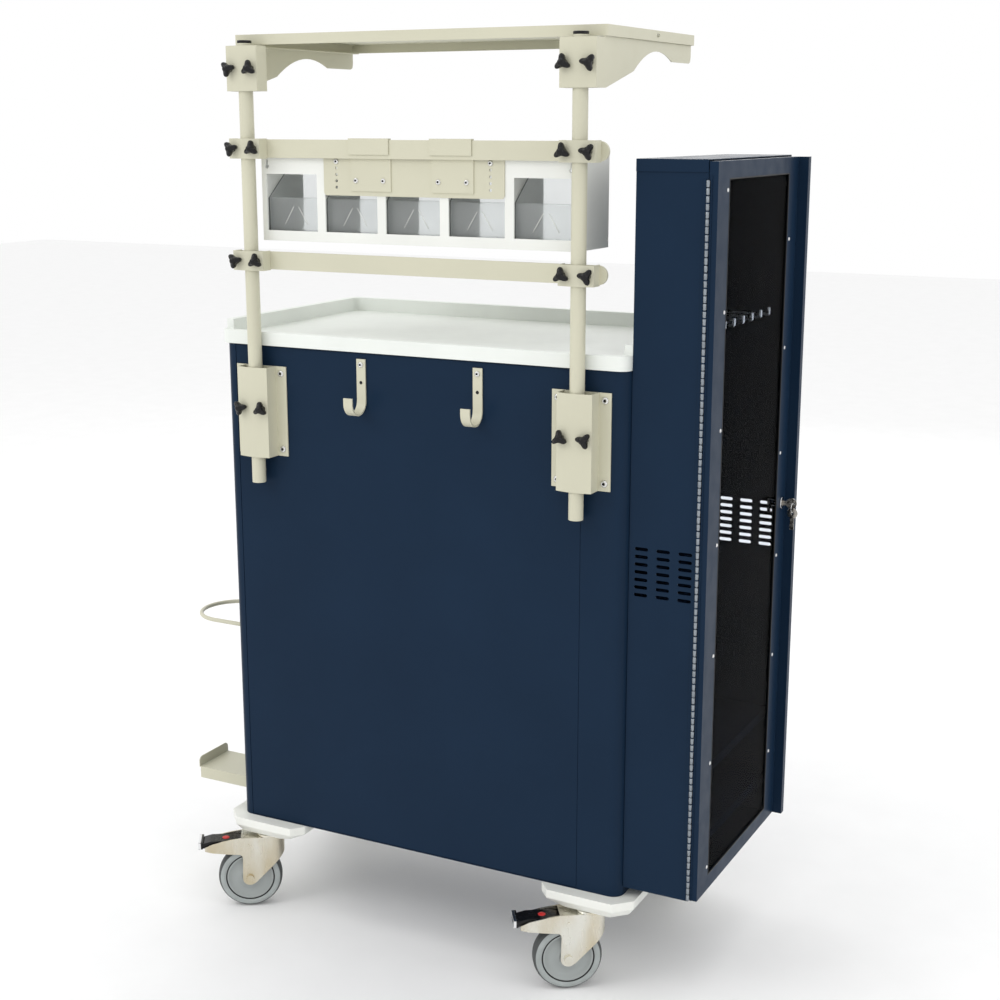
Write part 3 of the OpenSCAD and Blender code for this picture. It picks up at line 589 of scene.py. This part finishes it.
def wheel_profile():
    """Section from the bore out to the tread and back: 0 hub, 1 sidewall, 2 tread, 3 dark ring."""
    half, outer = 16, 62.5
    face = [
        (5.1, half - 1, 0), (13, half - 1, 0), (14.5, half - 0.2, 0), (20, half - 0.2, 0),
        (22, half - 3.2, 0), (40, half - 3.6, 0), (42, half - 0.8, 0), (45.2, half - 0.4, 3),
        (45.9, half - 1.8, 3), (47.1, half - 1.8, 3), (47.8, half, 1), (55, half - 0.2, 1),
        (58.2, half - 1.6, 2), (60.6, half - 4.4, 2), (62.0, half - 8, 2), (outer, half - 11, 2),
    ]
    # the far face is the near one in reverse, so a band's material comes from the point before
    before = [0] + [material for _, _, material in face[:-1]]
    far_face = [(radius, -height, material)
                for (radius, height, _), material in zip(reversed(face), reversed(before))]
    return [(radius * MM, height * MM, material) for radius, height, material in face + far_face + face[:1]]


def build_pedal_rim(shape, place):
    """Bright rim round the pedal's tread plate, in the caster's own directions."""
    half, low, high, rim = 21.2, 127.4, 141.6, 1.6
    for y0, y1, z0, z1 in ((-half, half, high - rim, high), (-half, half, low, low + rim),
                           (-half, -half + rim, low, high), (half - rim, half, low, high)):
        box_piece(shape, mm(135.5, y0, z0), mm(140.6, y1, z1), place=place)


def build_marker(shape, place):
    """A round red button on top of the pedal."""
    profile = [(0, 1.2, 0), (6, 1.2, 0), (7, 0.4, 0), (7, -0.3, 0), (0, -0.3, 0)]
    lathe(shape, [(r * MM, h * MM, m) for r, h, m in profile], place @ Matrix.Translation(mm(88, 0, 142)), 28)


for corner in CASTERS:
    axle = middle(f"wheel_{corner}")
    axle_place = facing(axle, Vector(JOINTS[f"roll_{corner}"]["axis"]).normalized())
    stem = Vector(JOINTS[f"swivel_{corner}"]["pos_m"])
    trail = Vector((axle.x - stem.x, axle.y - stem.y, 0)).normalized()
    # under the stem at floor height, with X along the caster's trail
    stem_place = Matrix.Translation((stem.x, stem.y, 0)) @ trail.to_track_quat("X", "Z").to_matrix().to_4x4()

    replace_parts(built_piece(
        f"wheel_{corner}_moulded", lambda shape, place=axle_place: lathe(shape, wheel_profile(), place, 72),
        BODY_OF[f"wheel_{corner}"], [HUB, SIDEWALL, TREAD, SEAL],
    ), f"wheel_{corner}")

    brake = BODY_OF[f"pedal_{corner}"]
    refined(f"pedal_{corner}", 1.2 * MM, 3)
    soften(built_piece(
        f"pedal_rim_{corner}", lambda shape, place=stem_place: build_pedal_rim(shape, place),
        brake, [CHROME],
    ), 0.5 * MM)
    built_piece(
        f"pedal_marker_{corner}", lambda shape, place=stem_place: build_marker(shape, place),
        brake, [RED],
    )


# ---- lock: the key's rounded copy, its ring and the spare key that hangs from it ----

LOCK = at(DOOR_FACE_X, -410, DOOR_MIDDLE_Z)


def build_ring(shape):
    centre = LOCK + mm(-24, 6.4, -6.4)
    steps = 36
    points = [centre + Vector((0, math.sin(turn), math.cos(turn))) * 9 * MM
              for turn in (2 * math.pi * k / steps for k in range(steps))]
    tube(shape, points + [points[0]], 0.8 * MM, 10)


def build_spare_key(shape):
    """A round bow with a hole, and a plain blade below it."""
    bow = LOCK + mm(-24, 6.4, -16.6)
    profile = [(2.6, 1.0, 0), (9.6, 1.0, 0), (10.2, 0.4, 0), (10.2, -0.4, 0),
               (9.6, -1.0, 0), (2.6, -1.0, 0), (2.6, 1.0, 0)]
    lathe(shape, [(r * MM, h * MM, m) for r, h, m in profile], facing(bow, BACKWARDS), 36)
    box_piece(shape, bow + mm(-3.6, -0.9, -31), bow + mm(3.6, 0.9, -8.8))


built_piece("key_ring", build_ring, "locker_door", [STEEL])
built_piece("spare_key", build_spare_key, "locker_door", [NICKEL])
refined("lock_key", 0.4 * MM)


# ---- drawers: card holders ----

def build_card_holder(shape, middle_z):
    """A three-sided rail round a blank card, on a drawer's front."""
    half, rail = 40, 2.2
    low, high = middle_z - 11, middle_z + 11
    for x0, x1, z0, z1 in ((-half, half, low, low + rail), (-half, -half + rail, low + rail, high),
                           (half - rail, half, low + rail, high)):
        box_piece(shape, at(x0, DRAWER_FACE_Y - 1.6, z0), at(x1, DRAWER_FACE_Y + 0.2, z1))
    box_piece(shape, at(-37.5, DRAWER_FACE_Y - 0.7, low + rail), at(37.5, DRAWER_FACE_Y + 0.1, high - 1), 1)


for row in range(1, 6):
    holder_z = middle(f"drawer_front_{row}").z / MM - 6
    soften(built_piece(
        f"card_holder_{row}", lambda shape, middle_z=holder_z: build_card_holder(shape, middle_z),
        BODY_OF[f"drawer_front_{row}"], [STEEL, CARD],
    ), 0.3 * MM)


# ---- bins: raised mould lines on the rear walls ----

def build_mould_lines(shape, low, high):
    """Two lines that lean towards each other at the top."""
    for side in SIDES:
        start = Vector(((low.x + high.x) / 2 + side * 24 * MM, high.y, low.z + 24 * MM))
        end = Vector(((low.x + high.x) / 2 + side * 5 * MM, high.y, high.z - 92 * MM))
        tube(shape, [start, start.lerp(end, 0.5), end], 0.6 * MM, 8)


for row in range(1, 6):
    built_piece(
        f"bin_mould_lines_{row}", lambda shape, box=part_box(f"bin_{row}"): build_mould_lines(shape, *box),
        BODY_OF[f"bin_{row}"], [RACK_WHITE],
    )


# ---- camera, floor and light ----

def aim(placed, direction):
    """Turns a camera or a lamp to look along a direction."""
    placed.rotation_mode = "QUATERNION"
    placed.rotation_quaternion = direction.normalized().to_track_quat("-Z", "Y")


camera = bpy.data.cameras.new("camera")
camera.sensor_width = 36
camera.lens = 57.86
camera_object = add_to_scene("camera", camera)
camera_object.location = at(-1404.8, 2403.0, 1513.8)
aim(camera_object, Vector((0.4453, -0.8659, -0.2280)))
bpy.context.scene.camera = camera_object


def build_floor(shape):
    half, height = 14, -0.0002
    shape.faces.new([shape.verts.new((x, y, height))
                     for x, y in ((-half, -half), (half, -half), (half, half), (-half, half))])


floor_mesh = mesh_from("floor", build_floor)
floor_mesh.materials.append(moulded_plastic("pale_floor", (0.93, 0.93, 0.93), 0.8, spread=0.01))
add_to_scene("floor", floor_mesh)


def area_light(name, place, size, power):
    """A soft lamp that looks at the middle of the cart."""
    light = bpy.data.lights.new(name, "AREA")
    light.shape = "RECTANGLE"
    light.size, light.size_y = size
    light.energy = power
    lamp = add_to_scene(name, light)
    lamp.location = place
    aim(lamp, CART_MIDDLE - Vector(place))


CART_MIDDLE = Vector((0, 0, 0.8))
area_light("key", (2.6, 3.4, 3.8), (2.4, 2.0), 42)
area_light("side_fill", (-4.2, 0.6, 2.2), (2.6, 2.6), 14)
area_light("front_fill", (0.5, -4.4, 2.8), (3.0, 2.4), 22)
area_light("top", (0, 0, 5.0), (3.6, 3.6), 26)

world = bpy.data.worlds.new("studio")
world.use_nodes = True
background = world.node_tree.nodes["Background"]
background.inputs["Color"].default_value = (1, 1, 1, 1)
background.inputs["Strength"].default_value = 1.0
bpy.context.scene.world = world
bpy.context.scene.view_settings.view_transform = "Standard"
